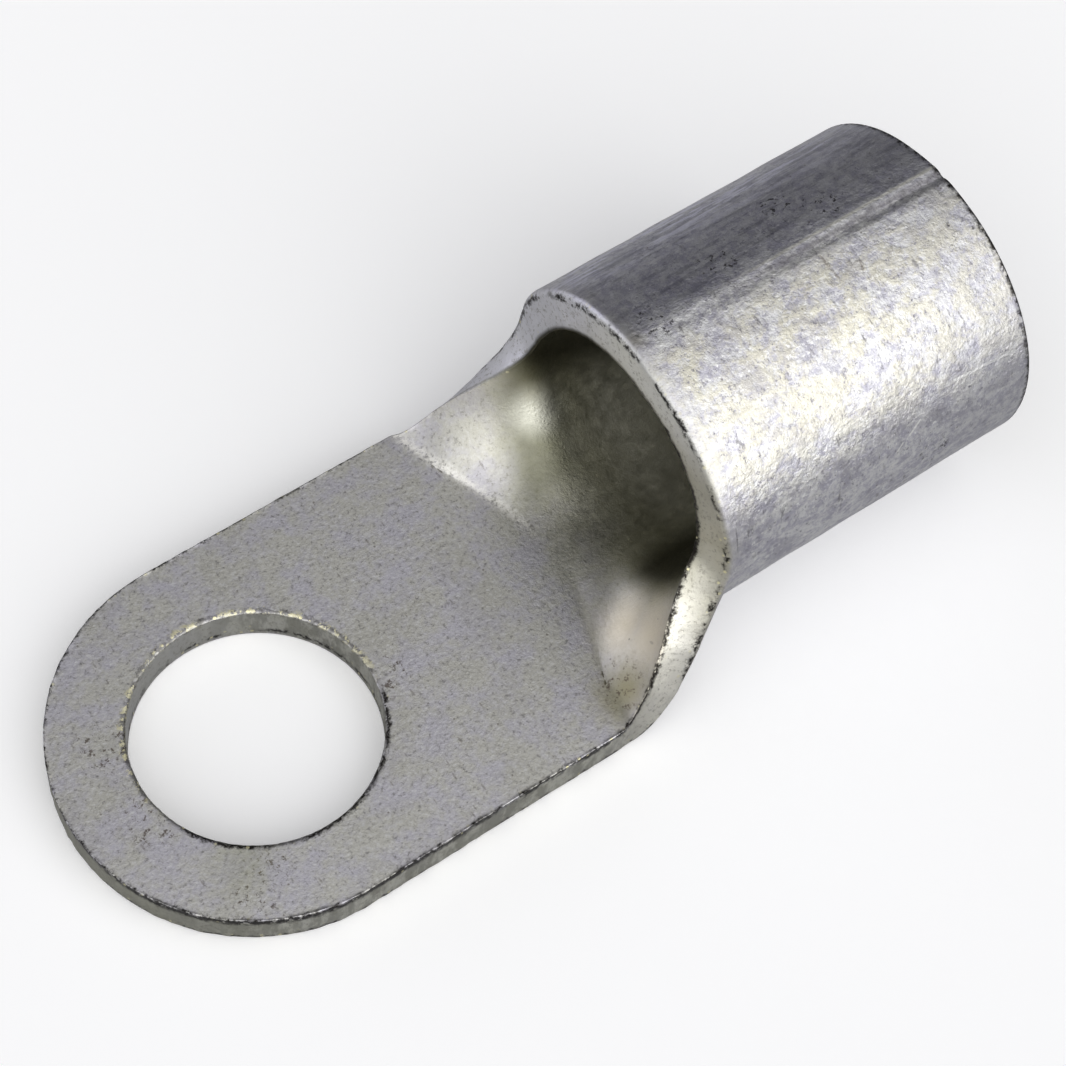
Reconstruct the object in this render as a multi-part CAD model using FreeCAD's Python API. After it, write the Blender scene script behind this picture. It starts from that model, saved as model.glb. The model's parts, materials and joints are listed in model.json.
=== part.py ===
"""A non-insulated ring terminal, stamped and rolled from one piece of tinned copper sheet.

The frame: the origin is the stud hole's centre on the tongue's underside, +X runs towards the barrel,
and +Z points away from the surface that the tongue is bolted to. Lengths are in millimetres.
"""
import FreeCAD
import Part
import math
import os

# Sheet
sheet_thickness = 1.8
edge_rounding = 0.3

# Tongue
tongue_width = 17.1
stud_hole_diameter = 10.5
hole_rim_rounding = 0.2
hole_to_bend = 12.1

# Barrel
barrel_bore = 11.0
barrel_length = 15.7
barrel_end_slant = math.radians(1.0)
barrel_end_rounding = 0.12

# Throat, where the flat sheet curls up into the barrel
bend_length = 6.1
bend_to_mouth = 5.55
shoulder_radius = 2.7
waist_depth = 0.18
waist_half_length = 2.5
closing_share = 0.28

# Crease where the tongue ends, and how softly the curling starts and ends, as shares of its length
crease_bow = 2.5
crease_reach = 10.7
crease_sharp_reach = 6.0
crease_rounding = 0.16
last_rounding = 0.42

# Brazed seam along the barrel's top
seam_offset = 0.2
seam_start = 1.0
seam_end_width = 1.0
seam_end_depth = 0.3

# Points that the curled faces pass through
rows_along = 24
rows_across = 16
rows_round = 6

# Sizes that follow
half_width = tongue_width / 2
half_sheet = sheet_thickness / 2
bore_radius = barrel_bore / 2
outer_radius = bore_radius + sheet_thickness
middle_radius = bore_radius + half_sheet
half_turn = math.pi * middle_radius
hole_to_mouth = hole_to_bend + bend_to_mouth
hole_to_end = hole_to_mouth + barrel_length
ring_start = hole_to_mouth + max(5.2 * (bend_length - bend_to_mouth), 1.5)
side_run = bend_to_mouth - shoulder_radius
shoulder_run = shoulder_radius * math.pi / 2
top_run = half_turn - half_width - shoulder_radius
rim_run = side_run + shoulder_run + top_run


def vector(x, y, z):
    return FreeCAD.Vector(x, y, z)


def ease(share):
    """A smooth step from 0 to 1."""
    share = min(max(share, 0.0), 1.0)
    return share * share * (3 - 2 * share)


def curl_share(x, reach):
    """How far the sheet has curled, from 0 on the tongue, past the bowed crease, to 1 in the barrel."""
    start = hole_to_bend + crease_bow * (1 - ease(abs(reach) / crease_reach))
    share = min(max((x - start) / (hole_to_bend + bend_length - start), 0.0), 1.0)
    softer = ease((abs(reach) - crease_sharp_reach) / (half_width - crease_sharp_reach))
    first = crease_rounding + (last_rounding - crease_rounding) * softer
    steepest = 1 / (1 - (first + last_rounding) / 2)
    if share < first:
        return steepest * share * share / (2 * first)
    if share > 1 - last_rounding:
        return 1 - steepest * (1 - share) * (1 - share) / (2 * last_rounding)
    return steepest * (share - first / 2)


def arc_place(curvature, reach):
    """End of an arc of the given length that leaves the bottom of the sheet level: (y, z)."""
    angle = curvature * reach
    if abs(angle) < 1e-7:
        return reach, half_sheet
    return math.sin(angle) / curvature, half_sheet + (1 - math.cos(angle)) / curvature


def middle_place(x, reach):
    """Place in the section at x of the sheet's middle, at a reach along it from the centre line."""
    y, z = arc_place(curl_share(x, reach) / middle_radius, reach)
    ring_y, ring_z = arc_place(1 / middle_radius, reach)
    close = ease((abs(reach) - half_width) / (closing_share * half_turn))
    return y + (ring_y - y) * close, z + (ring_z - z) * close


def sheet_point(x, reach, depth):
    """Point of the curled sheet, at a depth square to its middle and counted towards the bore."""
    if x <= hole_to_bend:
        return vector(x, reach, half_sheet + depth)
    step = 1e-4
    y, z = middle_place(x, reach)
    y_next, z_next = middle_place(x + step, reach)
    y_last, z_last = middle_place(x - step, reach)
    along = vector(2 * step, y_next - y_last, z_next - z_last)
    y_side, z_side = middle_place(x, reach + step)
    y_back, z_back = middle_place(x, reach - step)
    across = vector(0, y_side - y_back, z_side - z_back)
    normal = along.cross(across)
    normal.normalize()
    return vector(x, y, z) + normal * depth


def waist(x):
    """How much narrower the curling sheet has drawn itself at x."""
    from_middle = abs(x - hole_to_bend - waist_half_length) / waist_half_length
    return waist_depth * (1 - ease(from_middle))


def rim_place(share, inset):
    """Place on the flat blank's edge, from the bend, round the shoulder, to the seam: (x, reach)."""
    run = share * rim_run
    if run <= side_run:
        angle = 0.0
        x = hole_to_bend + run
        reach = half_width
    elif run <= side_run + shoulder_run:
        angle = (run - side_run) / shoulder_radius
        x = hole_to_bend + side_run + shoulder_radius * math.sin(angle)
        reach = half_width + shoulder_radius * (1 - math.cos(angle))
    else:
        angle = math.pi / 2
        x = hole_to_mouth
        reach = half_turn - rim_run + run
    reach -= waist(x)
    return x + inset * math.sin(angle), reach - inset * math.cos(angle)


def centre_place(share):
    """Where a row of points crosses the centre line, as x: level with the mouth at the shoulder's end."""
    mouth_share = (side_run + shoulder_run) / rim_run
    wanted = bend_to_mouth / (ring_start - hole_to_bend)
    early = 1 - (1 - mouth_share) ** 3
    even = min(max((early - wanted) / (early - mouth_share), 0.2), 1.0)
    along = even * share + (1 - even) * (1 - (1 - share) ** 3)
    return hole_to_bend + (ring_start - hole_to_bend) * along


def face_grid(side, inset, depth):
    """Rows of points over half of one face of the throat, each row from the centre line to the rim."""
    grid = []
    for row in range(rows_along + 1):
        share = row / rows_along
        centre_x = centre_place(share)
        rim_x, rim_reach = rim_place(share, inset)
        points = []
        for column in range(rows_across + 1):
            across = column / rows_across
            x = centre_x + (rim_x - centre_x) * (1 - math.cos(math.pi * across)) / 2
            points.append(sheet_point(x, side * across * rim_reach, depth))
        grid.append(points)
    return grid


def rounding_grid(side):
    """Rows of points over the rolled-over outer edge of one rim."""
    grid = []
    for row in range(rows_along + 1):
        points = []
        for column in range(rows_round + 1):
            angle = math.pi / 2 * column / rows_round
            x, reach = rim_place(row / rows_along, edge_rounding * (1 - math.cos(angle)))
            depth = half_sheet - edge_rounding + edge_rounding * math.sin(angle)
            points.append(sheet_point(x, side * reach, -depth))
        grid.append(points)
    return grid


def cut_grid(side):
    """Rows of points over the cut edge of the sheet on one side."""
    grid = []
    for row in range(rows_along + 1):
        x, reach = rim_place(row / rows_along, 0)
        points = []
        for column in range(4):
            depth = half_sheet - (sheet_thickness - edge_rounding) * column / 3
            points.append(sheet_point(x, side * reach, depth))
        grid.append(points)
    return grid


def spline_knots(last, degree):
    """Knots, with their multiplicities, of the spline through points 0 to last."""
    skipped = (degree + 1) // 2
    inside = [float(knot) for knot in range(skipped, last - skipped + 1)]
    return [0.0] + inside + [float(last)], [degree + 1] + [1] * len(inside) + [degree + 1]


def basis_values(knots, degree, count, place):
    """The spline's basis functions at a place along it."""
    place = min(place, knots[-1] - 1e-12)
    values = [1.0 if knots[i] <= place < knots[i + 1] else 0.0 for i in range(len(knots) - 1)]
    for rising in range(1, degree + 1):
        for i in range(len(knots) - 1 - rising):
            left = knots[i + rising] - knots[i]
            right = knots[i + rising + 1] - knots[i + 1]
            value = 0.0
            if left > 0:
                value += (place - knots[i]) / left * values[i]
            if right > 0:
                value += (knots[i + rising + 1] - place) / right * values[i + 1]
            values[i] = value
    return values[:count]


def spline_poles(rows, degree):
    """Poles of the splines that pass through the rows, each row a list of points."""
    count = len(rows)
    knots, repeats = spline_knots(count - 1, degree)
    full = [knot for knot, repeat in zip(knots, repeats) for _ in range(repeat)]
    matrix = [basis_values(full, degree, count, float(i)) for i in range(count)]
    right = [list(row) for row in rows]
    for i in range(count):
        best = max(range(i, count), key=lambda k: abs(matrix[k][i]))
        matrix[i], matrix[best] = matrix[best], matrix[i]
        right[i], right[best] = right[best], right[i]
        for k in range(i + 1, count):
            factor = matrix[k][i] / matrix[i][i]
            if factor:
                matrix[k] = [a - factor * b for a, b in zip(matrix[k], matrix[i])]
                right[k] = [a - b * factor for a, b in zip(right[k], right[i])]
    for i in range(count - 1, -1, -1):
        right[i] = [a * (1 / matrix[i][i]) for a in right[i]]
        for k in range(i):
            factor = matrix[k][i]
            if factor:
                right[k] = [a - b * factor for a, b in zip(right[k], right[i])]
    return right


def smooth_face(grid):
    """The smooth face through a grid of points, whose borders depend on the border points alone."""
    degree = 5 if len(grid[0]) > 6 else 3
    poles = spline_poles(grid, 3)
    turned = [list(column) for column in zip(*poles)]
    poles = [list(column) for column in zip(*spline_poles(turned, degree))]
    u_knots, u_repeats = spline_knots(len(grid) - 1, 3)
    v_knots, v_repeats = spline_knots(len(grid[0]) - 1, degree)
    surface = Part.BSplineSurface()
    surface.buildFromPolesMultsKnots(poles, u_repeats, v_repeats, u_knots, v_knots, False, False, 3, degree)
    return surface.toShape()


def throat_faces():
    """The curled sheet between the tongue and the barrel, open at both ends."""
    grids = []
    for side in (-1, 1):
        grids.append(face_grid(side, edge_rounding, -half_sheet))
        grids.append(face_grid(side, 0, half_sheet))
        grids.append(rounding_grid(side))
        grids.append(cut_grid(side))
    return [smooth_face(grid) for grid in grids]


def make_tongue():
    """The flat ring tongue with its stud hole."""
    near_back = vector(hole_to_bend, -half_width, 0)
    far_back = vector(hole_to_bend, half_width, 0)
    near = vector(0, -half_width, 0)
    far = vector(0, half_width, 0)
    outline = Part.Wire([
        Part.LineSegment(near, near_back).toShape(),
        Part.LineSegment(near_back, far_back).toShape(),
        Part.LineSegment(far_back, far).toShape(),
        Part.Arc(far, vector(-half_width, 0, 0), near).toShape(),
    ])
    plate = Part.Face(outline).extrude(vector(0, 0, sheet_thickness))
    lower = [edge for edge in plate.Edges
             if edge.BoundBox.ZMax < 1e-6 and edge.BoundBox.XMin < hole_to_bend - 1e-6]
    plate = plate.makeFillet(edge_rounding, lower)
    plate = plate.cut(Part.makeCylinder(stud_hole_diameter / 2, sheet_thickness))
    rim = [edge for edge in plate.Edges
           if edge.BoundBox.ZMin > sheet_thickness - 1e-6
           and edge.BoundBox.XMax < stud_hole_diameter / 2 + 1e-3
           and edge.BoundBox.XMin > -half_width + 1e-3]
    return plate.makeFillet(hole_rim_rounding, rim)


def behind(low_x, high_x, low_z, high_z):
    """A large block behind the slanting plane through (low_x, low_z) and (high_x, high_z)."""
    reach = hole_to_end + outer_radius
    rise = (high_x - low_x) / (high_z - low_z)
    outline = Part.makePolygon([
        vector(low_x - rise * (reach + low_z), -reach, -reach),
        vector(low_x + rise * (reach - low_z), -reach, reach),
        vector(hole_to_end + reach, -reach, reach),
        vector(hole_to_end + reach, -reach, -reach),
        vector(low_x - rise * (reach + low_z), -reach, -reach),
    ])
    return Part.Face(outline).extrude(vector(0, 2 * reach, 0))


def is_cylinder(face, radius):
    surface = face.Surface
    return isinstance(surface, Part.Cylinder) and abs(surface.Radius - radius) < 1e-6


def barrel_faces():
    """The round barrel behind the throat, with its far end cut slightly off square."""
    axis = vector(1, 0, 0)
    start = vector(hole_to_bend, 0, outer_radius)
    length = bend_to_mouth + barrel_length + outer_radius
    room = 4 * outer_radius
    tube = Part.makeCylinder(outer_radius, length, start, axis).cut(
        Part.makeCylinder(bore_radius, length, start, axis))
    trim = Part.makeBox(room, room, room, vector(hole_to_end, -room / 2, -outer_radius))
    trim.rotate(vector(hole_to_end, 0, 0), vector(0, 0, 1), math.degrees(barrel_end_slant))
    tube = tube.cut(trim)
    rim = [edge for edge in tube.Edges
           if edge.BoundBox.XMin > hole_to_mouth and edge.BoundBox.ZMin < half_sheet]
    tube = tube.makeFillet(barrel_end_rounding, rim)
    faces = []
    for side in (0, 1):
        half = tube.common(Part.makeBox(length + room, room, room, vector(0, -room * side, -outer_radius)))
        outer_part = half.common(behind(ring_start, hole_to_mouth + edge_rounding, 0, 2 * outer_radius))
        inner_part = half.common(
            behind(ring_start, hole_to_mouth, sheet_thickness, sheet_thickness + barrel_bore))
        faces += [face for face in outer_part.Faces
                  if not is_cylinder(face, bore_radius) and face.BoundBox.XMax > ring_start + 1e-3
                  and face.BoundBox.YLength > 1e-3]
        faces += [face for face in inner_part.Faces if is_cylinder(face, bore_radius)]
    return faces


def make_seam_groove():
    """The groove that the brazing leaves along the barrel's top, which grows towards the far end."""
    top = 2 * outer_radius
    start = hole_to_mouth + seam_start
    beyond = hole_to_end + outer_radius
    sections = []
    for x in (start, beyond):
        depth = seam_end_depth * (x - start) / (hole_to_end - start)
        sections.append(Part.makePolygon([
            vector(x, seam_offset - seam_end_width, top - depth + 2 * seam_end_depth),
            vector(x, seam_offset + seam_end_width, top - depth + 2 * seam_end_depth),
            vector(x, seam_offset, top - depth),
            vector(x, seam_offset - seam_end_width, top - depth + 2 * seam_end_depth),
        ]))
    return Part.makeLoft(sections, True, True)


def make_terminal():
    tongue = [face for face in make_tongue().Faces if face.BoundBox.XMin < hole_to_bend - 1e-3]
    shell = Part.makeCompound(tongue + throat_faces() + barrel_faces())
    shell.sewShape()
    body = Part.makeSolid(shell.Shells[0])
    return body.cut(make_seam_groove()).Solids[0]


def main():
    os.makedirs("parts", exist_ok=True)
    body = make_terminal()
    print("solids", len(body.Solids), "valid", body.isValid(), "volume", round(body.Volume, 2))
    body.exportStep("parts/terminal_body.step")


main()
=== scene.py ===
import json
import math
import bmesh
import bpy
import numpy as np
from mathutils import Matrix, Vector


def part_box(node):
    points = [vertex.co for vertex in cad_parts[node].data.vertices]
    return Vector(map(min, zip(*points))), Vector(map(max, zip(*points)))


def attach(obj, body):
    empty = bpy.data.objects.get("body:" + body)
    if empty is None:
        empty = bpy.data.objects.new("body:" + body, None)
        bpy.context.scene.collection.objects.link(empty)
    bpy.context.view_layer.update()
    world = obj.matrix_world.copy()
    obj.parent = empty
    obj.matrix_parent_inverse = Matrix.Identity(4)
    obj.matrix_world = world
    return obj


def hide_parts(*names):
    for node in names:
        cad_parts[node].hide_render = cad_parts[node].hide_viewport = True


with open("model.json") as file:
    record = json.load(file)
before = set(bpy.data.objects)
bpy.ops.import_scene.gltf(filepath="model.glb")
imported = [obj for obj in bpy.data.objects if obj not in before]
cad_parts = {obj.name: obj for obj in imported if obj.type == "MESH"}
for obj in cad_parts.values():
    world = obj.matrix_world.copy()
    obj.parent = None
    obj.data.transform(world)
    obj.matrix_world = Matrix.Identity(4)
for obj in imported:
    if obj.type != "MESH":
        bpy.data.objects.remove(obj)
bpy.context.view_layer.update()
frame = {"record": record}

# Lengths are in millimetres up to the meshes, which are in metres
MM = 0.001
MOUNTS = {mount["name"]: mount for mount in frame["record"]["mounts"]}

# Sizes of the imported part
HOLE_RADIUS = MOUNTS["stud_hole"]["dims"]["r_mm"]
BORE_RADIUS = MOUNTS["wire_barrel"]["dims"]["r_mm"]
BARREL_LENGTH = MOUNTS["wire_barrel"]["dims"]["length_mm"]
SHEET = 1.8
OUTER_RADIUS = BORE_RADIUS + SHEET
HALF_SHEET = SHEET / 2
MIDDLE_RADIUS = BORE_RADIUS + HALF_SHEET
HALF_TURN = math.pi * MIDDLE_RADIUS
HALF_WIDTH = -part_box("terminal_body")[0][0] / MM

# Throat, as in the part
BEND_X = 12.1
BEND_LENGTH = 6.1
MOUTH_X = BEND_X + 5.55
END_X = MOUTH_X + BARREL_LENGTH
END_SLANT = math.radians(1.0)
END_ROUNDING = 0.12
SHOULDER_RADIUS = 2.7
WAIST_DEPTH = 0.18
WAIST_HALF_LENGTH = 2.5
CLOSING_SHARE = 0.28
CREASE_BOW = 2.5
CREASE_REACH = 10.7
CREASE_ROUNDING = 0.14
CREASE_SHARP_REACH = 6.0
LAST_ROUNDING = 0.42
RING_START_X = MOUTH_X + 2.86
EDGE_ROUNDING = 0.3
SIDE_RUN = MOUTH_X - BEND_X - SHOULDER_RADIUS
SHOULDER_RUN = SHOULDER_RADIUS * math.pi / 2
RIM_RUN = SIDE_RUN + HALF_TURN - HALF_WIDTH - SHOULDER_RADIUS + SHOULDER_RUN

# Seam and rolled barrel, finer than the part's
SEAM_RISE = 0.05
SEAM_RISE_REACH = 1.8
RIDGE_HEIGHT = 0.018
RIDGE_ARC = 0.38
RIDGE_WIDTH = 0.16
GROOVE_ARC = -0.08
GROOVE_WIDTH = 0.2
GROOVE_DEPTH = 0.01
GROOVE_GROWTH = 0.13
WAVE_HEIGHT = 0.006

# What the mesh's rim value says away from the cut edge, on the upper face and on the lower one
UPPER_RIM = -1.0
LOWER_RIM = 3.0

# Wear that the photograph shows at a place, and glints painted in as highlights (GLINTS): a centre and a
# radius, or a start, an end and a width
NOTCH = (17.95, 0.2, 14.5)
NICKS = [((26.6, -0.51, 14.66), (26.66, -1.78, 14.4), 0.09),
         ((27.89, -1.49, 14.48), (27.71, -2.09, 14.3), 0.07)]
GLINTS = [((27.06, -6.98, 9.42), (27.62, -6.83, 9.88), 0.08),
          ((26.4, -7.1, 8.9), (26.7, -7.02, 9.2), 0.07),
          ((29.57, -6.46, 10.72), (32.73, -6.58, 10.44), 0.09)]
BARREL_SPOTS = [((23.07, 1.72, 14.42), 0.9), ((28.24, 1.53, 14.48), 0.8), ((26.94, 2.74, 14.08), 0.7),
                ((28.56, -7.3, 7.39), 0.9), ((19.22, 0.59, 14.67), 0.8), ((32.3, -2.5, 14.0), 0.7)]
TONGUE_SPOTS = [((-5.6, 2.6, 1.8), 1.3), ((-5.6, -1.2, 1.8), 1.4), ((-4.2, -6.4, 1.8), 1.0),
                ((5.6, -1.0, 1.8), 1.2), ((-2.9, -5.5, 1.8), 1.0), ((13.4, -6.9, 2.1), 1.2)]

# Mesh spacing
STRIP = 0.6
COLUMNS = 56
THROAT_ROWS = 104
BARREL_ROWS = 56
TONGUE_ROWS = 18
STATION_SPACING = 0.16
SEED = 7


def ease(share):
    """A smooth step from 0 to 1."""
    share = np.clip(share, 0.0, 1.0)
    return share * share * (3 - 2 * share)


def curl_share(x, reach):
    """How far the sheet has curled, from 0 on the tongue, past the bowed crease, to 1 in the barrel."""
    start = BEND_X + CREASE_BOW * (1 - ease(np.abs(reach) / CREASE_REACH))
    share = np.clip((x - start) / (BEND_X + BEND_LENGTH - start), 0.0, 1.0)
    softer = ease((np.abs(reach) - CREASE_SHARP_REACH) / (HALF_WIDTH - CREASE_SHARP_REACH))
    first = CREASE_ROUNDING + (LAST_ROUNDING - CREASE_ROUNDING) * softer
    steepest = 1 / (1 - (first + LAST_ROUNDING) / 2)
    early = steepest * share ** 2 / (2 * first)
    late = 1 - steepest * (1 - share) ** 2 / (2 * LAST_ROUNDING)
    middle = steepest * (share - first / 2)
    return np.where(share < first, early, np.where(share > 1 - LAST_ROUNDING, late, middle))


def arc_place(curvature, reach):
    """End of an arc that leaves the sheet's bottom level: (y, z)."""
    angle = curvature * reach
    flat = np.abs(angle) < 1e-7
    bend = np.where(flat, 1.0, curvature)
    y = np.where(flat, reach, np.sin(angle) / bend)
    z = np.where(flat, 0.0, (1 - np.cos(angle)) / bend)
    return y, HALF_SHEET + z


def middle_place(x, reach):
    """Place in the section at x of the sheet's middle, at a reach from the centre line."""
    y, z = arc_place(curl_share(x, reach) / MIDDLE_RADIUS, reach)
    ring_y, ring_z = arc_place(np.full_like(x, 1 / MIDDLE_RADIUS), reach)
    close = ease((np.abs(reach) - HALF_WIDTH) / (CLOSING_SHARE * HALF_TURN))
    return y + (ring_y - y) * close, z + (ring_z - z) * close


def sheet_points(x, reach, depth):
    """Points of the curled sheet, at a depth square to its middle and counted towards the bore."""
    x, reach, depth = np.broadcast_arrays(*(np.asarray(v, float) for v in (x, reach, depth)))
    step = 1e-4
    y, z = middle_place(x, reach)
    y_next, z_next = middle_place(x + step, reach)
    y_last, z_last = middle_place(x - step, reach)
    y_side, z_side = middle_place(x, reach + step)
    y_back, z_back = middle_place(x, reach - step)
    along = np.stack([np.full_like(x, 2 * step), y_next - y_last, z_next - z_last], -1)
    across = np.stack([np.zeros_like(x), y_side - y_back, z_side - z_back], -1)
    normal = np.cross(along, across)
    normal /= np.linalg.norm(normal, axis=-1, keepdims=True)
    points = np.stack([x, y, z], -1) + normal * depth[..., None]
    flat = x <= BEND_X
    points[flat] = np.stack([x, reach, HALF_SHEET + depth], -1)[flat]
    return points


def rim_place(share, inset):
    """Place on the flat blank's edge, from the bend, round the shoulder, to the seam: (x, reach)."""
    run = np.asarray(share, float) * RIM_RUN
    angle = np.clip((run - SIDE_RUN) / SHOULDER_RADIUS, 0, math.pi / 2)
    along = np.clip(run, 0, SIDE_RUN)
    up = np.clip(run - SIDE_RUN - SHOULDER_RUN, 0, None)
    x = BEND_X + along + SHOULDER_RADIUS * np.sin(angle)
    reach = HALF_WIDTH + SHOULDER_RADIUS * (1 - np.cos(angle)) + up
    from_middle = np.abs(x - BEND_X - WAIST_HALF_LENGTH) / WAIST_HALF_LENGTH
    reach = reach - WAIST_DEPTH * (1 - ease(from_middle))
    return x + inset * np.sin(angle), reach - inset * np.cos(angle)


def centre_x(share):
    """Where a row crosses the centre line, level with the mouth at the shoulder's end."""
    mouth_share = (SIDE_RUN + SHOULDER_RUN) / RIM_RUN
    wanted = (MOUTH_X - BEND_X) / (RING_START_X - BEND_X)
    early = 1 - (1 - mouth_share) ** 3
    even = min(max((early - wanted) / (early - mouth_share), 0.2), 1.0)
    along = even * share + (1 - even) * (1 - (1 - share) ** 3)
    return BEND_X + (RING_START_X - BEND_X) * along


def column_shares():
    """Shares of the reach at which columns stand, from -1 to 1, closer together at the rims."""
    even = np.linspace(-1, 1, 2 * COLUMNS + 1)
    crowd = 0.36
    return even * (1 + crowd * (1 - even ** 2))


class Shell:
    """Grids of points that join into one closed mesh, with what the materials read at each point."""

    def __init__(self):
        self.points = []
        self.rims = []
        self.insides = []
        self.quads = []
        self.count = 0

    def add(self, points, rim, inside, closed=False):
        """Adds a grid: rim is the way along the cut edge's profile, and inside is 1 on the upper face."""
        rows, columns = points.shape[:2]
        numbers = np.arange(rows * columns).reshape(rows, columns) + self.count
        if closed:
            numbers = np.concatenate([numbers, numbers[:, :1]], 1)
        corners = [numbers[:-1, :-1], numbers[1:, :-1], numbers[1:, 1:], numbers[:-1, 1:]]
        self.quads.append(np.stack([c.ravel() for c in corners], 1))
        self.points.append(points.reshape(-1, 3))
        self.rims.append(np.broadcast_to(rim, (rows, columns)).ravel())
        self.insides.append(np.broadcast_to(inside, (rows, columns)).ravel())
        self.count += rows * columns

    def build(self, name):
        points = np.concatenate(self.points)
        quads = np.concatenate(self.quads)
        keys = np.round(points, 4) + 0.0
        _, first, place = np.unique(keys, axis=0, return_index=True, return_inverse=True)
        quads = place.reshape(-1)[quads]
        mesh = bpy.data.meshes.new(name)
        faces = [list(dict.fromkeys(quad)) for quad in quads.tolist()]
        faces = [face for face in faces if len(face) > 2]
        mesh.from_pydata((points[first] * MM).tolist(), [], faces)
        for label, values in (("rim", self.rims), ("inside", self.insides)):
            attribute = mesh.attributes.new(label, "FLOAT", "POINT")
            attribute.data.foreach_set("value", np.concatenate(values)[first].astype(np.float32))
        shape = bmesh.new()
        shape.from_mesh(mesh)
        bmesh.ops.recalc_face_normals(shape, faces=shape.faces)
        open_edges = sum(1 for edge in shape.edges if len(edge.link_faces) != 2)
        shape.to_mesh(mesh)
        shape.free()
        mesh.shade_smooth()
        print("terminal mesh:", len(faces), "faces,", open_edges, "open edges")
        return bpy.data.objects.new(name, mesh)


def wander(count, spacing, amount, seed):
    """Smooth random numbers along a line of stations, zero at both ends."""
    random = np.random.RandomState(seed)
    knots = random.uniform(-1, 1, max(int(count / spacing), 4))
    values = np.interp(np.linspace(0, len(knots) - 1, count), np.arange(len(knots)), knots)
    window = ease(np.minimum(np.arange(count), np.arange(count)[::-1]) / 6.0)
    return values * window * amount


def seam_relief(x, reach):
    """How far the outer face stands out round the brazed seam, by the arc from the barrel's top."""
    arc = np.where(reach < 0, -1, 1) * (HALF_TURN - np.abs(reach)) * OUTER_RADIUS / MIDDLE_RADIUS
    grown = np.clip((x - MOUTH_X) / BARREL_LENGTH, 0, 1)
    peak = SEAM_RISE * ease(1 - np.abs(arc) / SEAM_RISE_REACH)
    ridge = RIDGE_HEIGHT * np.exp(-((arc - RIDGE_ARC) / RIDGE_WIDTH) ** 2)
    deepest = GROOVE_DEPTH + GROOVE_GROWTH * grown ** 1.5
    groove = deepest * np.exp(-((arc - GROOVE_ARC) / GROOVE_WIDTH) ** 2)
    return peak + (ridge - groove) * ease((x - MOUTH_X) / 2.5)


def unevenness(x, reach):
    """Low waves that rolling and plating leave on the barrel."""
    angle = reach / MIDDLE_RADIUS
    waves = np.sin(1.3 * x + 3 * angle + 0.4) + np.sin(0.7 * x - 5 * angle + 2.1)
    waves += 0.7 * np.sin(2.3 * x + 7 * angle + 1.0) + 0.7 * np.sin(1.9 * x - 8 * angle + 4.4)
    return WAVE_HEIGHT * waves * ease((x - MOUTH_X) / 2.0)


def face_depth(side, x, reach):
    """Depth of a face of the sheet: side is 1 for the upper, inner face and -1 for the outer one."""
    if side > 0:
        return np.full_like(x, HALF_SHEET)
    return -HALF_SHEET - seam_relief(x, reach) - unevenness(x, reach)


def throat_row_places(share):
    """Places on the flat blank of one row of the throat, from the near rim to the far one: (x, reach)."""
    shares = column_shares()
    rim_x, rim_reach = rim_place(share, STRIP)
    start = centre_x(share)
    x = start + (rim_x - start) * (1 - np.cos(math.pi * np.abs(shares))) / 2
    return x, shares * rim_reach


def end_x(y, inset):
    """Where the slanted wire end lies at y, less an inset."""
    return END_X - math.tan(END_SLANT) * y - inset


def tongue_stations():
    """Stations on the tongue's edge, from near to far by the round end: (x, outward x, outward reach)."""
    side = np.linspace(BEND_X, 0, int(BEND_X / STATION_SPACING) + 1)
    turn = np.linspace(-math.pi / 2, -3 * math.pi / 2, int(math.pi * HALF_WIDTH / STATION_SPACING) + 1)[1:-1]
    x = np.concatenate([side, np.zeros(len(turn)), side[::-1]])
    out_x = np.concatenate([np.zeros(len(side)), np.cos(turn), np.zeros(len(side))])
    out_reach = np.concatenate([-np.ones(len(side)), np.sin(turn), np.ones(len(side))])
    return x, out_x, out_reach


def loop_places(inset):
    """Places along the whole cut edge, from the seam round the tongue and back to it: (x, reach)."""
    shares = np.linspace(0, 1, THROAT_ROWS + 1)[1:]
    x, out_x, out_reach = tongue_stations()
    inset = np.broadcast_to(inset, 2 * THROAT_ROWS + len(x))
    near_x, near_reach = rim_place(shares[::-1], inset[:THROAT_ROWS])
    far_x, far_reach = rim_place(shares, inset[-THROAT_ROWS:])
    out = HALF_WIDTH - inset[THROAT_ROWS:-THROAT_ROWS]
    all_x = np.concatenate([near_x, x + out_x * out, far_x])
    all_reach = np.concatenate([-near_reach, out_reach * out, far_reach])
    return all_x, all_reach


def profile_runs(profile, start):
    """How far along a profile each of its points lies, counted from a start."""
    runs = [start]
    for last, point in zip(profile, profile[1:]):
        runs.append(runs[-1] + math.hypot(point[0] - last[0], point[1] - last[1]))
    return runs


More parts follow.
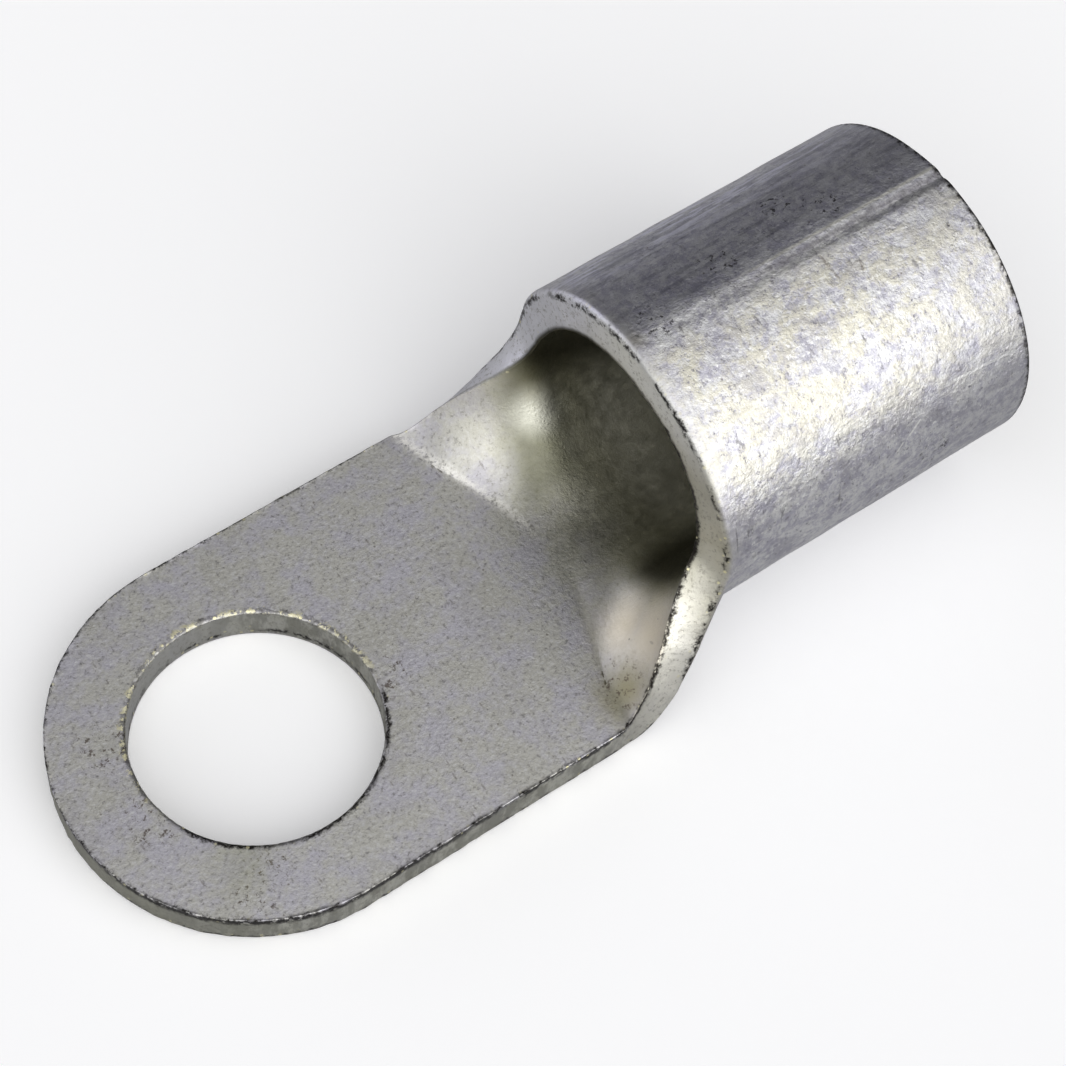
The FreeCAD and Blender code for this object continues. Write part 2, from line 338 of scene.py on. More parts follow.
def add_cut_edge(shell):
    """The sheet's cut edge: a burred upper edge, the sheared wall and the rolled-over lower edge."""
    # Each point is an inset from the cut edge and a depth towards the bore
    profile = [(STRIP, 0.9), (0.45, 0.9), (0.32, 0.9), (0.22, 0.9), (0.15, 0.9), (0.1, 0.9), (0.06, 0.9)]
    profile += [(0.03, 0.9), (0.008, 0.885), (0.0, 0.86), (0.0, 0.8), (0.0, 0.7), (0.0, 0.55), (0.0, 0.35)]
    profile += [(0.0, 0.15), (0.0, -0.05), (0.0, -0.25), (0.0, -0.4), (0.0, -0.5)]
    for step in range(7):
        angle = math.pi / 2 * step / 6
        profile.append((EDGE_ROUNDING * (1 - math.cos(angle)), -0.6 - EDGE_ROUNDING * math.sin(angle)))
    profile += [(0.45, -0.9), (STRIP, -0.9)]
    count = len(loop_places(0.0)[0])
    lip = np.clip(wander(count, 2.2, 0.07, SEED), 0, 1) + np.clip(wander(count, 5.0, 0.04, SEED + 1), 0, 1)
    lip *= np.linspace(1.0, 0.3, count)
    nibble = wander(count, 1.8, 0.022, SEED + 2) + wander(count, 9.0, 0.02, SEED + 3)
    rows = []
    rims = []
    for (inset, depth), run in zip(profile, profile_runs(profile, -STRIP)):
        near_burr = math.exp(-(run / 0.07) ** 2)
        on_wall = float(0.0 < run < 1.9)
        x, reach = loop_places(inset + on_wall * nibble)
        rolled = np.clip(-depth - 0.3, 0, 0.6) / 0.6
        relief = (face_depth(-1, x, reach) + HALF_SHEET) * rolled
        depths = face_depth(-1, x, reach) if rolled == 1 else depth + relief + near_burr * lip
        rows.append(sheet_points(x, reach, depths))
        rims.append(np.full(count, run))
    insides = np.array([[0.5 + depth / SHEET] for inset, depth in profile])
    shell.add(np.stack(rows), np.stack(rims), insides)


def add_hole(shell, angles):
    """The stud hole's wall, with a rounded upper rim."""
    # Each point is a way out from the hole's radius and a height
    profile = [(STRIP, SHEET), (0.42, SHEET), (0.3, SHEET), (0.2, SHEET), (0.13, 1.797), (0.08, 1.782)]
    profile += [(0.04, 1.755), (0.012, 1.72), (0.0, 1.66), (0.0, 1.5), (0.0, 1.2), (0.0, 0.9)]
    profile += [(0.0, 0.6), (0.0, 0.3), (0.0, 0.1), (0.02, 0.02), (0.05, 0.0), (0.3, 0.0), (STRIP, 0.0)]
    rows = []
    rims = []
    nibble = wander(len(angles), 1.9, 0.03, SEED + 5)
    for (out, z), run in zip(profile, profile_runs(profile, -0.45)):
        rough = nibble * (0.3 < z < 1.79) * (0.4 + 0.6 * (z < 1.5))
        radius = HOLE_RADIUS + out + rough
        x, y = radius * np.cos(angles), radius * np.sin(angles)
        rows.append(np.stack([x, y, np.full(len(angles), z)], -1))
        rims.append(np.full(len(angles), run))
    insides = np.array([[z / SHEET] for out, z in profile])
    shell.add(np.stack(rows), np.stack(rims), insides, closed=True)


def add_tongue(shell):
    """Both faces of the flat tongue, from the hole out to the strip along the edge and to the bend."""
    x, out_x, out_reach = tongue_stations()
    edge_x = x + out_x * (HALF_WIDTH - STRIP)
    edge_y = out_reach * (HALF_WIDTH - STRIP)
    bend_x, bend_y = throat_row_places(0.0)
    edge_x = np.concatenate([edge_x, bend_x[-2:0:-1]])
    edge_y = np.concatenate([edge_y, bend_y[-2:0:-1]])
    angles = np.arctan2(edge_y, edge_x)
    start = HOLE_RADIUS + STRIP
    for side in (1, -1):
        rows = []
        for share in np.linspace(0, 1, TONGUE_ROWS + 1):
            px = start * np.cos(angles) * (1 - share) + edge_x * share
            py = start * np.sin(angles) * (1 - share) + edge_y * share
            rows.append(np.stack([px, py, np.full_like(px, HALF_SHEET * (1 + side))], -1))
        rim = UPPER_RIM if side > 0 else LOWER_RIM
        shell.add(np.stack(rows), rim, (1 + side) / 2, closed=True)
    add_hole(shell, angles)


def add_throat_and_barrel(shell):
    """Both faces of the curling sheet and of the barrel, as far as the barrel's wire end."""
    throat = [throat_row_places(share) for share in np.linspace(0, 1, THROAT_ROWS + 1)]
    x = np.stack([row[0] for row in throat])
    reach = np.stack([row[1] for row in throat])
    first_x, barrel_reach = x[-1], reach[-1]
    ring_y = sheet_points(np.full_like(first_x, END_X), barrel_reach, -HALF_SHEET)[:, 1]
    shares = np.linspace(0, 1, BARREL_ROWS + 1)[:, None]
    barrel_x = first_x + (end_x(ring_y, STRIP) - first_x) * shares
    for side in (1, -1):
        rim = UPPER_RIM if side > 0 else LOWER_RIM
        shell.add(sheet_points(x, reach, face_depth(side, x, reach)), rim, (1 + side) / 2)
        spread = np.broadcast_to(barrel_reach, barrel_x.shape)
        depth = face_depth(side, barrel_x, spread)
        shell.add(sheet_points(barrel_x, spread, depth), rim, (1 + side) / 2)
    add_wire_end(shell, barrel_reach, ring_y)


def add_wire_end(shell, reach, ring_y):
    """The barrel's slanted end face, with a rounded outer edge."""
    # Each point is an inset from the wire end and a depth towards the bore
    profile = [(STRIP, -0.9), (0.45, -0.9)]
    for step in range(7):
        angle = math.pi / 2 * step / 6
        out = END_ROUNDING * math.cos(angle) - END_ROUNDING
        profile.append((END_ROUNDING * (1 - math.sin(angle)), -0.9 - out))
    profile += [(0.0, -0.6), (0.0, -0.3), (0.0, 0.0), (0.0, 0.4), (0.0, 0.75), (0.0, 0.84)]
    profile += [(0.03, 0.89), (0.09, 0.9), (0.3, 0.9), (STRIP, 0.9)]
    rows = []
    rims = []
    for (inset, depth), run in zip(profile, profile_runs(profile, -STRIP)):
        row_x = end_x(ring_y, inset)
        side = -1 if depth < 0 else 1
        share = np.clip(-depth - 0.3, 0, 0.6) / 0.6
        relief = (face_depth(-1, row_x, reach) + HALF_SHEET) * share
        depths = face_depth(side, row_x, reach) if inset == STRIP else depth + relief
        rows.append(sheet_points(row_x, reach, depths))
        rims.append(np.full(len(row_x), 2.4 - run))
    insides = np.array([[0.5 + depth / SHEET] for inset, depth in profile])
    shell.add(np.stack(rows), np.stack(rims), insides)


def make_terminal():
    shell = Shell()
    add_tongue(shell)
    add_throat_and_barrel(shell)
    add_cut_edge(shell)
    return shell.build("terminal")


class Nodes:
    """Short ways to build a material's nodes."""

    def __init__(self, tree):
        self.tree = tree

    def new(self, kind, **values):
        node = self.tree.nodes.new(kind)
        for key, value in values.items():
            setattr(node, key, value)
        return node

    def link(self, source, target):
        self.tree.links.new(source, target)

    def feed(self, socket, value):
        if isinstance(value, bpy.types.NodeSocket):
            self.link(value, socket)
        else:
            socket.default_value = value

    def math(self, operation, a, b=0.0, clamp=False):
        node = self.new("ShaderNodeMath", operation=operation, use_clamp=clamp)
        self.feed(node.inputs[0], a)
        self.feed(node.inputs[1], b)
        return node.outputs[0]

    def times(self, *values):
        product = values[0]
        for value in values[1:]:
            product = self.math("MULTIPLY", product, value)
        return product

    def rest(self, share):
        """What a share leaves of 1."""
        return self.math("SUBTRACT", 1.0, share)

    def highest(self, values):
        value = values[0]
        for other in values[1:]:
            value = self.math("MAXIMUM", value, other)
        return value

    def step(self, value, low, high):
        """A smooth step from 0 to 1 as the value goes from low to high."""
        node = self.new("ShaderNodeMapRange", interpolation_type="SMOOTHSTEP")
        self.feed(node.inputs["Value"], value)
        node.inputs["From Min"].default_value = low
        node.inputs["From Max"].default_value = high
        return node.outputs["Result"]

    def band(self, value, middle, width):
        """1 where the value is at the middle, falling to 0 at the width on both sides."""
        away = self.math("ABSOLUTE", self.math("SUBTRACT", value, middle))
        return self.step(away, width, 0.0)

    def mix(self, share, a, b):
        node = self.new("ShaderNodeMix", data_type="RGBA", clamp_factor=True)
        self.feed(node.inputs["Factor"], share)
        self.feed(node.inputs["A"], a)
        self.feed(node.inputs["B"], b)
        return node.outputs["Result"]

    def lay(self, colour, paint, share, amount=1.0):
        """The colour with a paint laid over it where the share says, up to the amount."""
        if amount < 1.0:
            share = self.times(share, amount)
        return self.mix(share, colour, (*paint, 1))

    def mapped(self, vector, stretch, turn=(0.0, 0.0, 0.0)):
        node = self.new("ShaderNodeMapping")
        self.link(vector, node.inputs["Vector"])
        node.inputs["Scale"].default_value = stretch
        node.inputs["Rotation"].default_value = turn
        return node.outputs["Vector"]

    def noise(self, vector, scale, detail, roughness, stretch=None, turn=(0.0, 0.0, 0.0)):
        if stretch is not None:
            vector = self.mapped(vector, stretch, turn)
        node = self.new("ShaderNodeTexNoise")
        self.link(vector, node.inputs["Vector"])
        node.inputs["Scale"].default_value = scale
        node.inputs["Detail"].default_value = detail
        node.inputs["Roughness"].default_value = roughness
        return node.outputs["Fac"]

    def dots(self, vector, scale, size, share):
        """Small round dots in a share of the cells of a scattered pattern."""
        node = self.new("ShaderNodeTexVoronoi")
        self.link(vector, node.inputs["Vector"])
        node.inputs["Scale"].default_value = scale
        split = self.new("ShaderNodeSeparateColor")
        self.link(node.outputs["Color"], split.inputs[0])
        near = self.step(node.outputs["Distance"], size, size * 0.55)
        return self.math("MULTIPLY", near, self.step(split.outputs[0], share + 0.02, share))

    def patch(self, vector, centre, radius):
        """A soft round patch about a place on the surface."""
        node = self.new("ShaderNodeVectorMath", operation="DISTANCE")
        self.link(vector, node.inputs[0])
        node.inputs[1].default_value = centre
        return self.step(node.outputs["Value"], radius, 0.0)

    def stroke(self, vector, start, end, width):
        """A straight scratch between two places on the surface."""
        run = Vector(end) - Vector(start)
        away = self.new("ShaderNodeVectorMath", operation="SUBTRACT")
        self.link(vector, away.inputs[0])
        away.inputs[1].default_value = start
        along = self.new("ShaderNodeVectorMath", operation="DOT_PRODUCT")
        self.link(away.outputs[0], along.inputs[0])
        along.inputs[1].default_value = run / run.length_squared
        foot = self.new("ShaderNodeVectorMath", operation="SCALE")
        foot.inputs[0].default_value = run
        self.link(self.math("ADD", along.outputs["Value"], 0.0, clamp=True), foot.inputs["Scale"])
        side = self.new("ShaderNodeVectorMath", operation="DISTANCE")
        self.link(away.outputs[0], side.inputs[0])
        self.link(foot.outputs[0], side.inputs[1])
        return self.step(side.outputs["Value"], width, width * 0.4)

    def attribute(self, name):
        return self.new("ShaderNodeAttribute", attribute_name=name).outputs["Fac"]


def bump(nodes, height, strength, distance, before=None):
    """A bump of a height in millimetres, over the normal that came before it."""
    node = nodes.new("ShaderNodeBump")
    node.inputs["Strength"].default_value = strength
    node.inputs["Distance"].default_value = distance * MM
    nodes.link(height, node.inputs["Height"])
    if before is not None:
        nodes.link(before, node.inputs["Normal"])
    return node.outputs["Normal"]


class Surface:
    """What the plating's colour goes by: the place in millimetres, the mesh's own values and two noises."""

    def __init__(self, nodes):
        scaled = nodes.new("ShaderNodeVectorMath", operation="SCALE")
        nodes.link(nodes.new("ShaderNodeTexCoord").outputs["Object"], scaled.inputs[0])
        scaled.inputs["Scale"].default_value = 1 / MM
        self.place = scaled.outputs[0]
        split = nodes.new("ShaderNodeSeparateXYZ")
        nodes.link(self.place, split.inputs[0])
        self.along = split.outputs["X"]
        self.across = split.outputs["Y"]
        self.height = split.outputs["Z"]
        self.rim = nodes.attribute("rim")
        inside = nodes.attribute("inside")
        self.inner = nodes.step(inside, 0.6, 1.0)
        outer = nodes.step(inside, 0.4, 0.0)
        self.barrel = nodes.times(nodes.step(self.along, MOUTH_X - 1.0, MOUTH_X + 1.5), outer)
        self.inner_throat_and_bore = nodes.times(self.inner, nodes.step(self.along, BEND_X + 0.5, MOUTH_X + 1.5))
        self.grain = nodes.noise(self.place, 4.5, 4.0, 0.8)
        self.grit = nodes.noise(self.place, 3.2, 4.0, 0.75)

    def peppered(self, nodes, spots, growth):
        """How near the place is to a spot of the list, where the dark specks crowd."""
        return nodes.highest([nodes.patch(self.place, centre, radius * growth) for centre, radius in spots])


def plain_plating(nodes, at):
    """Faint violet and olive clouds, and a fine light and dark grain."""
    tint = nodes.noise(at.place, 0.55, 6.0, 0.68)
    colour = nodes.mix(nodes.step(tint, 0.38, 0.6), (0.64, 0.625, 0.685, 1), (0.66, 0.65, 0.60, 1))
    cloud = nodes.noise(at.place, 0.3, 4.0, 0.6)
    colour = nodes.lay(colour, (0.52, 0.51, 0.45), nodes.step(cloud, 0.50, 0.66), 0.35)
    colour = nodes.lay(colour, (0.80, 0.80, 0.80), nodes.step(at.grain, 0.50, 0.68), 0.7)
    return nodes.lay(colour, (0.28, 0.27, 0.27), nodes.step(at.grain, 0.47, 0.32), 0.8)


def barrel_plating(nodes, at):
    """Pale and grey mottling, straw-coloured stains, scuffs, scratches, painted glints, painted shade on the
    far side, towards the wire end and in the seam's groove, and a painted highlight on the seam's ridge.
    """
    place, along, across, height = at.place, at.along, at.across, at.height
    blotch = nodes.noise(place, 1.7, 6.0, 0.82)
    colour = nodes.mix(nodes.step(blotch, 0.42, 0.60), (0.82, 0.82, 0.82, 1), (0.53, 0.52, 0.59, 1))
    straw = nodes.step(nodes.noise(place, 0.7, 6.0, 0.8), 0.42, 0.56)
    near_top = nodes.times(nodes.step(across, 0.3, -1.5), nodes.step(height, 8.5, 13.0))
    colour = nodes.lay(colour, (0.77, 0.735, 0.57), nodes.times(straw, near_top), 0.7)
    shade = nodes.noise(place, 0.45, 5.0, 0.7, (0.8, 1.0, 1.0))
    colour = nodes.lay(colour, (0.40, 0.39, 0.45), nodes.step(shade, 0.50, 0.62), 0.45)
    flake = nodes.noise(place, 3.6, 6.0, 0.85)
    colour = nodes.lay(colour, (0.95, 0.95, 0.93), nodes.step(flake, 0.56, 0.62))
    colour = nodes.lay(colour, (0.30, 0.29, 0.33), nodes.step(flake, 0.44, 0.37))
    scuff = nodes.noise(place, 1.1, 5.0, 0.75, (2.4, 0.8, 0.8), (0.0, 0.0, 0.9))
    often = nodes.step(nodes.noise(place, 0.5, 3.0, 0.6), 0.46, 0.58)
    colour = nodes.lay(colour, (0.22, 0.21, 0.22), nodes.times(nodes.step(scuff, 0.58, 0.66), often), 0.75)
    scrape = nodes.noise(place, 1.4, 5.0, 0.7, (0.7, 2.6, 2.6), (0.3, 0.2, -0.5))
    colour = nodes.lay(colour, (0.97, 0.96, 0.92), nodes.step(scrape, 0.58, 0.65), 0.5)

    # The far side is darker as painted shade, and drawn out in streaks
    far_side = nodes.times(nodes.step(across, 0.2, 0.9), nodes.step(across, 6.0, 4.6))
    colour = nodes.lay(colour, (0.24, 0.24, 0.33), far_side, 0.4)
    streak = nodes.noise(place, 2.2, 5.0, 0.7, (0.16, 1.0, 1.0))
    pale_streaks = nodes.times(nodes.step(streak, 0.50, 0.60), nodes.step(across, 3.0, 5.0))
    colour = nodes.lay(colour, (0.88, 0.88, 1.0), pale_streaks, 0.75)
    dark_streaks = nodes.times(nodes.step(streak, 0.50, 0.38), far_side)
    colour = nodes.lay(colour, (0.12, 0.12, 0.16), dark_streaks, 0.4)

    nicks = nodes.highest([nodes.stroke(place, *nick) for nick in NICKS])
    colour = nodes.lay(colour, (0.20, 0.16, 0.14), nodes.times(nicks, nodes.step(flake, 0.60, 0.46)), 0.6)
    # Painted highlights: the GLINTS are pale strokes laid on the barrel
    glints = nodes.highest([nodes.stroke(place, *glint) for glint in GLINTS])
    colour = nodes.lay(colour, (1.0, 1.0, 0.96), glints, 0.8)
    # Painted shade: the barrel turns darker towards the wire end
    colour = nodes.lay(colour, (0.42, 0.42, 0.46), nodes.step(along, 26.0, 33.0), 0.3)
    colour = nodes.lay(colour, (0.12, 0.09, 0.06), nodes.patch(place, NOTCH, 0.7), 0.8)
    crowded = nodes.step(at.peppered(nodes, BARREL_SPOTS, 1.6), 0.1, 0.5)
    pepper = nodes.times(nodes.step(at.grit, 0.56, 0.62), crowded)
    colour = nodes.lay(colour, (0.05, 0.045, 0.05), pepper, 0.9)

    # Painted shade in the seam's groove and a painted highlight along its ridge, both wobbling a little
    wobble = nodes.times(nodes.math("SUBTRACT", nodes.noise(place, 1.5, 4.0, 0.7), 0.5), 0.5)
    on_top = nodes.step(height, 13.8, 14.2)
    groove = nodes.band(nodes.math("ADD", across, wobble), 0.08, 0.28)
    groove = nodes.times(groove, on_top, nodes.step(along, MOUTH_X + 1.0, MOUTH_X + 9.0))
    colour = nodes.lay(colour, (0.16, 0.15, 0.16), groove, 0.75)
    ridge = nodes.band(nodes.math("ADD", across, nodes.times(wobble, 0.3)), 0.43, 0.13)
    ridge = nodes.times(ridge, on_top, nodes.step(along, MOUTH_X + 3.0, MOUTH_X + 9.0))
    return nodes.lay(colour, (1.0, 0.98, 0.88), ridge, 0.7)


def throat_tint_and_shade(nodes, at, colour):
    """Olive tint inside the throat and bore; painted shade, darkest far in and under the roof, also on the
    far flank and in the near corner; painted highlights on both flanks; and a brown stain.
    """
    place, along, across, inner = at.place, at.along, at.across, at.inner
    # An olive tint inside the throat, turning pale cream further along the bore as painted light
    olive = nodes.mix(nodes.step(along, 18.8, 20.8), (0.60, 0.585, 0.42, 1), (1.0, 0.98, 0.80, 1))
    colour = nodes.mix(nodes.times(at.inner_throat_and_bore, 0.9), colour, olive)
    # Painted shade: a dark band across the far flank, beyond a slanting line
    far_flank_shade = nodes.math("SUBTRACT", along, nodes.times(nodes.math("SUBTRACT", across, 4.4), 0.3))
    far_flank_shade = nodes.times(nodes.step(far_flank_shade, 14.6, 16.5), nodes.step(along, 18.8, 17.4))
    far_flank_shade = nodes.times(far_flank_shade, nodes.step(across, 1.0, 3.0), inner)
    colour = nodes.lay(colour, (0.13, 0.13, 0.08), far_flank_shade, 0.8)
    # Painted shade: near black under the roof of the mouth and in the near corner of the throat
    deep = nodes.math("ADD", at.height, nodes.times(nodes.math("SUBTRACT", along, 17.0), 0.35))
    roof = nodes.times(nodes.step(deep, 4.9, 7.6), nodes.step(along, MOUTH_X - 1.3, MOUTH_X - 0.3))
    corner = nodes.times(nodes.step(across, -1.6, -3.5), nodes.step(along, 15.7, 17.3))
    roof_and_corner_shade = nodes.times(nodes.highest([roof, corner]), inner)
    colour = nodes.lay(colour, (0.03, 0.027, 0.015), roof_and_corner_shade, 0.89)
    # Painted highlight: a pale patch on the far flank where it meets the bore
    far_flank_highlight = nodes.times(nodes.patch(place, (17.3, 4.9, 4.45), 1.8), inner)
    colour = nodes.lay(colour, (0.90, 0.90, 0.79), far_flank_highlight, 0.8)
    # Painted light: cream patches on the near flank
    near_flank_light = nodes.highest([nodes.patch(place, (14.9, -4.9, 2.7), 2.4),
                           nodes.patch(place, (15.1, -6.3, 3.8), 2.8)])
    colour = nodes.lay(colour, (0.81, 0.745, 0.57), nodes.times(near_flank_light, inner))
    brown = nodes.times(nodes.patch(place, (13.3, -7.2, 2.2), 2.2), inner)
    return nodes.lay(colour, (0.40, 0.37, 0.24), brown)


def crease_lines(nodes, at, colour):
    """The crease has a painted highlight along it on the far side, broken by the grain, and a dark line of
    painted shade on the near side.
    """
    share = nodes.step(nodes.math("ABSOLUTE", at.across), 0.0, CREASE_REACH)
    crease = nodes.math("ADD", at.along, nodes.times(share, CREASE_BOW))
    crease = nodes.math("SUBTRACT", crease, BEND_X + CREASE_BOW)
    crease_highlight = nodes.times(nodes.band(crease, 0.12, 0.4), nodes.step(at.across, 0.3, 2.0), at.inner)
    crease_highlight = nodes.times(crease_highlight, nodes.step(at.grain, 0.38, 0.56))
    colour = nodes.lay(colour, (1.0, 0.98, 0.92), crease_highlight, 0.8)
    crease_shade = nodes.times(nodes.band(crease, 0.15, 0.5), nodes.step(at.across, -0.3, -2.0), at.inner)
    return nodes.lay(colour, (0.36, 0.35, 0.25), crease_shade, 0.35)


def specks(nodes, at, colour):
    """Small dark specks and short ticks, thicker in a few places, and an olive stain by the hole."""
    speck = nodes.times(nodes.dots(at.place, 2.2, 0.13, 0.16), 0.7)
    ticks = []
    for turn, scale in ((0.6, 1.2), (-0.8, 1.5)):
        drawn_out = nodes.mapped(at.place, (3.4, 0.9, 1.0), (0.0, 0.0, turn))
        ticks.append(nodes.dots(drawn_out, scale, 0.24, 0.04))
    off_barrel = nodes.math("SUBTRACT", 0.45, nodes.times(at.barrel, 0.45))
    ticks = nodes.times(nodes.highest(ticks), off_barrel)
    crowded = nodes.step(at.peppered(nodes, TONGUE_SPOTS, 1.5), 0.1, 0.6)
    pepper = nodes.times(nodes.step(at.grit, 0.56, 0.61), crowded)
    dark = nodes.times(nodes.highest([speck, ticks, pepper]), nodes.rest(at.inner_throat_and_bore))
    colour = nodes.lay(colour, (0.12, 0.09, 0.07), dark, 0.8)
    return nodes.lay(colour, (0.42, 0.43, 0.24), nodes.patch(at.place, (-3.6, -4.7, 1.8), 2.0), 0.35)


def sheared_wall(nodes, at, hole, colour):
    """The sheet's cut wall: streaked and dark on the tongue, partly as painted shade, and pale on the flanks
    as painted light, faintly violet on the far one.
    """
    along, across = at.along, at.across
    streak = nodes.noise(at.place, 1.6, 5.0, 0.7, (1.0, 1.0, 0.35))
    # Streaks and an olive stain on the tongue's wall, kept dark there as painted shade as well
    tongue_wall_streaks_and_shade = nodes.mix(nodes.step(streak, 0.42, 0.62), (0.36, 0.36, 0.30, 1), (0.66, 0.66, 0.58, 1))
    tongue_wall_streaks_and_shade = nodes.lay(tongue_wall_streaks_and_shade, (0.36, 0.36, 0.27), nodes.step(along, -3.0, -7.5), 0.7)
    tongue_wall_streaks_and_shade = nodes.lay(tongue_wall_streaks_and_shade, (0.56, 0.56, 0.53), nodes.times(hole, nodes.step(along, 4.5, -2.0)))
    # Painted light: the flank walls are pale, cream on the near flank, near white high up and faintly violet
    # on the far flank
    lit_flank_wall = nodes.mix(nodes.step(along, 15.4, 17.2), (0.90, 0.88, 0.78, 1), (0.62, 0.60, 0.49, 1))
    lit_flank_wall = nodes.lay(lit_flank_wall, (0.92, 0.92, 0.86), nodes.step(at.height, 11.0, 13.5))
    lit_flank_wall = nodes.lay(lit_flank_wall, (0.97, 0.97, 1.0), nodes.step(across, 0.5, 4.0))
    sheared = nodes.mix(nodes.step(along, BEND_X - 1.0, BEND_X + 2.5), tongue_wall_streaks_and_shade, lit_flank_wall)
    sheared = nodes.lay(sheared, (0.30, 0.28, 0.22), nodes.step(at.grain, 0.47, 0.36), 0.55)
    wall = nodes.times(nodes.step(at.rim, 0.02, 0.25), nodes.step(at.rim, 1.9, 1.6))
    return nodes.mix(nodes.times(wall, 0.85), colour, sheared)


def edge_lines(nodes, at, hole, colour):
    """Broken dark lines, with straw-coloured crumbs, at the burr and where the wall is rolled over, and
    painted glints dotted along the hole's upper rim.
    """
    along, across, rim = at.along, at.across, at.rim
    jag = nodes.times(nodes.math("SUBTRACT", nodes.noise(at.place, 3.5, 4.0, 0.75), 0.5), 0.7)
    ragged = nodes.math("ADD", rim, jag)
    patch = nodes.noise(at.place, 0.7, 3.0, 0.6)
    dash = nodes.noise(at.place, 2.4, 4.0, 0.75)
    wire_end = nodes.step(along, END_X - 1.0, END_X - 0.5)

    far_flank = nodes.times(nodes.step(across, -3.0, 1.0), nodes.step(along, BEND_X - 2.0, BEND_X), 0.9)
    far_hole = nodes.times(hole, 0.35, nodes.step(across, -2.0, 0.0))
    faint = nodes.highest([far_flank, far_hole])
    upper = nodes.times(nodes.band(ragged, 0.05, 0.21), nodes.step(dash, 0.40, 0.48))
    upper = nodes.times(upper, nodes.step(patch, 0.34, 0.44), nodes.rest(faint))

    top = nodes.times(nodes.step(at.height, 11.5, 12.8), nodes.step(across, 0.5, 1.5))
    lower = nodes.times(nodes.band(ragged, 1.52, 0.22), nodes.step(dash, 0.56, 0.47))
    lower = nodes.times(lower, nodes.highest([nodes.step(patch, 0.58, 0.48), top]), nodes.rest(wire_end))
    end = nodes.times(nodes.band(ragged, 2.44, 0.3), wire_end, nodes.step(dash, 0.62, 0.52))

    clumps = nodes.times(nodes.step(along, 12.5, 11.5), nodes.step(patch, 0.46, 0.54))
    round_end = nodes.highest([nodes.step(along, 8.0, 3.0), clumps])
    round_end = nodes.times(round_end, nodes.step(across, 0.0, -3.0), nodes.rest(nodes.times(hole, 0.4)))
    round_end = nodes.times(round_end, nodes.step(dash, 0.36, 0.44), nodes.band(ragged, 0.16, 0.34))
    colour = nodes.lay(colour, (0.02, 0.017, 0.015), nodes.highest([upper, lower, end, round_end]))

    edges = nodes.highest([nodes.band(rim, 0.08, 0.3), nodes.band(rim, 1.5, 0.45)])
    crumbs = nodes.times(edges, nodes.dots(at.place, 3.1, 0.3, 0.35), nodes.rest(wire_end))
    # Painted highlight: pale dots along the far part of the hole's upper rim
    hole_rim_glints = nodes.times(nodes.step(dash, 0.49, 0.43), hole, nodes.step(across, -1.5, 0.5))
    hole_rim_glints = nodes.times(hole_rim_glints, nodes.band(ragged, 0.0, 0.26), 0.8)
    return nodes.lay(colour, (0.90, 0.85, 0.55), nodes.highest([crumbs, hole_rim_glints]))


def tin_material():
    """Satin tin plating: even on the tongue, worked and scuffed on the barrel, dark at the burrs."""
    material = bpy.data.materials.new("tinned_copper")
    material.use_nodes = True
    shader = material.node_tree.nodes["Principled BSDF"]
    nodes = Nodes(material.node_tree)
    at = Surface(nodes)
    square = nodes.math("ADD", nodes.times(at.along, at.along), nodes.times(at.across, at.across))
    from_centre = nodes.math("SQRT", square)
    hole = nodes.step(from_centre, HOLE_RADIUS + 1.2, HOLE_RADIUS + 0.9)

    colour = nodes.mix(at.barrel, plain_plating(nodes, at), barrel_plating(nodes, at))
    colour = throat_tint_and_shade(nodes, at, colour)
    colour = crease_lines(nodes, at, colour)
    colour = specks(nodes, at, colour)
    colour = sheared_wall(nodes, at, hole, colour)
    colour = edge_lines(nodes, at, hole, colour)
    nodes.link(colour, shader.inputs["Base Color"])

    roughness = nodes.new("ShaderNodeMapRange")
    nodes.link(nodes.noise(at.place, 2.1, 5.0, 0.65), roughness.inputs["Value"])
    roughness.inputs["From Min"].default_value = 0.25
    roughness.inputs["From Max"].default_value = 0.75
    roughness.inputs["To Min"].default_value = 0.32
    roughness.inputs["To Max"].default_value = 0.48
    nodes.link(roughness.outputs["Result"], shader.inputs["Roughness"])
    shader.inputs["Metallic"].default_value = 1.0

    normal = bump(nodes, nodes.noise(at.place, 6.0, 3.0, 0.7), 0.5, 0.03)
    handled = nodes.times(nodes.noise(at.place, 1.4, 4.0, 0.7), at.barrel)
    normal = bump(nodes, handled, 0.7, 0.10, normal)
    nodes.link(normal, shader.inputs["Normal"])
    return material


def make_floor():
    """A pale plain floor just under the part, brighter to the camera than the light that it throws back."""
    size = 2.0
    corners = [(-size, -size, 0), (size, -size, 0), (size, size, 0), (-size, size, 0)]
    mesh = bpy.data.meshes.new("floor")
    mesh.from_pydata(corners, [], [(0, 1, 2, 3)])
    floor = bpy.data.objects.new("floor", mesh)
    floor.location.z = -0.00002
    bpy.context.scene.collection.objects.link(floor)
    material = bpy.data.materials.new("floor")
    material.use_nodes = True
    shader = material.node_tree.nodes["Principled BSDF"]
    nodes = Nodes(material.node_tree)
    seen = nodes.new("ShaderNodeLightPath").outputs["Is Camera Ray"]
    nodes.link(nodes.mix(seen, (0.42, 0.42, 0.43, 1), (0.96, 0.96, 0.96, 1)), shader.inputs["Base Color"])
    nodes.link(nodes.math("MULTIPLY", seen, 0.12), shader.inputs["Emission Strength"])
    shader.inputs["Emission Color"].default_value = (1.0, 1.0, 1.0, 1)
    shader.inputs["Roughness"].default_value = 0.9
    shader.inputs["Specular IOR Level"].default_value = 0.0
    mesh.materials.append(material)


